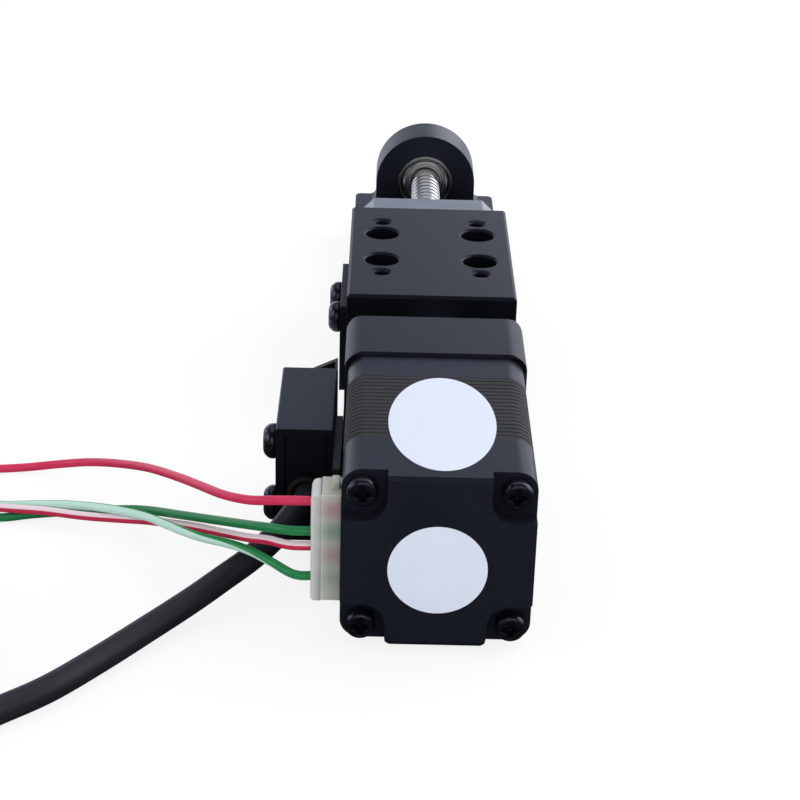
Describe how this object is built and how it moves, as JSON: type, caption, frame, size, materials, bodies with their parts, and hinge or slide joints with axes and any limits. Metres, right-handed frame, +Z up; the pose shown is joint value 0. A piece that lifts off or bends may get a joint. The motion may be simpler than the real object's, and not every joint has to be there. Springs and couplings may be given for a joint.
{
  "type": "ball screw linear module",
  "caption": "Compact single-axis linear stage: a stepping motor turns a ball screw that drives a carriage along a U-shaped guide rail, with an origin sensor at the side.",
  "frame": {"origin": "on the rail's underside, at the centre of its four mounting holes, below the screw's axis", "axes": "+Y along the travel, from the motor to the far end; +Z up, out of the table's top face; +X to the right seen from the motor"},
  "size_m": [0.1412, 0.2114, 0.0295],
  "materials": {
    "rail_steel": "ground bearing steel with a dark finish",
    "black_anodised": "black anodised aluminium, fine matte",
    "grey_anodised": "plain machined aluminium, fine matte grey",
    "lamination_steel": "stacked electrical steel, dark varnish",
    "copper_wire": "enamelled copper wire",
    "black_oxide_steel": "black oxide alloy steel",
    "bright_steel": "ground and polished bearing steel",
    "shield_steel": "pressed steel shield",
    "magnet": "sintered magnet",
    "black_rubber": "nitrile rubber",
    "nylon": "natural nylon, slightly translucent",
    "tin_plate": "tin plated copper alloy",
    "sensor_plastic": "moulded black PBT",
    "circuit_board": "glass-epoxy board",
    "bracket_steel": "black finished sheet steel",
    "cable_jacket": "dark grey PVC jacket",
    "red_insulation": "red PVC insulation",
    "green_insulation": "green PVC insulation",
    "red_white_insulation": "white PVC insulation with a red stripe",
    "green_white_insulation": "pale green PVC insulation with a green stripe",
    "end_cap_plastic": "moulded green resin"
  },
  "bodies": {
    "root": {"base_rail": "rail_steel", "rail_screws": "bright_steel", "bearing_housing": "black_anodised", "housing_screws": "black_oxide_steel", "far_support": "black_anodised", "motor_rear_cover": "black_anodised", "stator_core": "lamination_steel", "motor_windings": "copper_wire", "motor_front_bell": "black_anodised", "motor_through_screws": "black_oxide_steel", "shaft_bearing_outers": "bright_steel", "bearing_balls": "bright_steel", "wave_washer": "bright_steel", "bearing_retainer": "black_oxide_steel", "screw_seal": "black_rubber", "far_bearing_outer": "bright_steel", "far_bearing_shields": "shield_steel", "connector_header": "nylon", "connector_plug": "nylon", "connector_terminals": "tin_plate", "sensor_body": "sensor_plastic", "sensor_end_plate": "sensor_plastic", "sensor_grommet": "black_rubber", "sensor_board": "circuit_board", "sensor_coil": "copper_wire", "sensor_screws": "black_oxide_steel", "sensor_bracket": "bracket_steel", "bracket_screws": "black_oxide_steel", "sensor_cable": "cable_jacket", "cable_coil": "cable_jacket", "cable_cores": "copper_wire", "cord_ties": "sensor_plastic", "lead_red": "red_insulation", "lead_green": "green_insulation", "lead_red_white": "red_white_insulation", "lead_green_white": "green_white_insulation", "lead_coil": "red_insulation", "lead_tips": "tin_plate"},
    "screw": {"screw_shaft": "bright_steel", "rotor_stacks": "lamination_steel", "rotor_magnet": "magnet", "rotor_spacers": "bright_steel", "shaft_bearing_inners": "bright_steel", "lock_nut": "black_oxide_steel", "far_bearing_inner": "bright_steel", "snap_ring": "bright_steel"},
    "carriage": {"table": "black_anodised", "table_screws": "black_oxide_steel", "runner_block": "bright_steel", "runner_end_caps": "end_cap_plastic", "runner_seals": "black_rubber", "end_cap_screws": "bright_steel", "guide_balls": "bright_steel", "ball_nut": "bright_steel", "nut_balls": "bright_steel", "nut_wipers": "black_rubber", "nut_bracket": "grey_anodised", "nut_bracket_screws": "black_oxide_steel", "sensor_flag": "bracket_steel", "flag_screws": "black_oxide_steel"}
  },
  "joints": [
    {"name": "screw_spin", "type": "hinge", "parent": "root", "child": "screw", "pos_m": [0, 0, 0.015], "axis": [0, 1, 0], "range_deg": [-5310, 3690]},
    {"name": "carriage_slide", "type": "slide", "parent": "root", "child": "carriage", "axis": [0, 1, 0], "range_m": [-0.0205, 0.0295]}
  ],
  "couplings": [
    {"joint": "screw_spin", "follows": "carriage_slide", "rad_per_m": -3141.6}
  ]
}
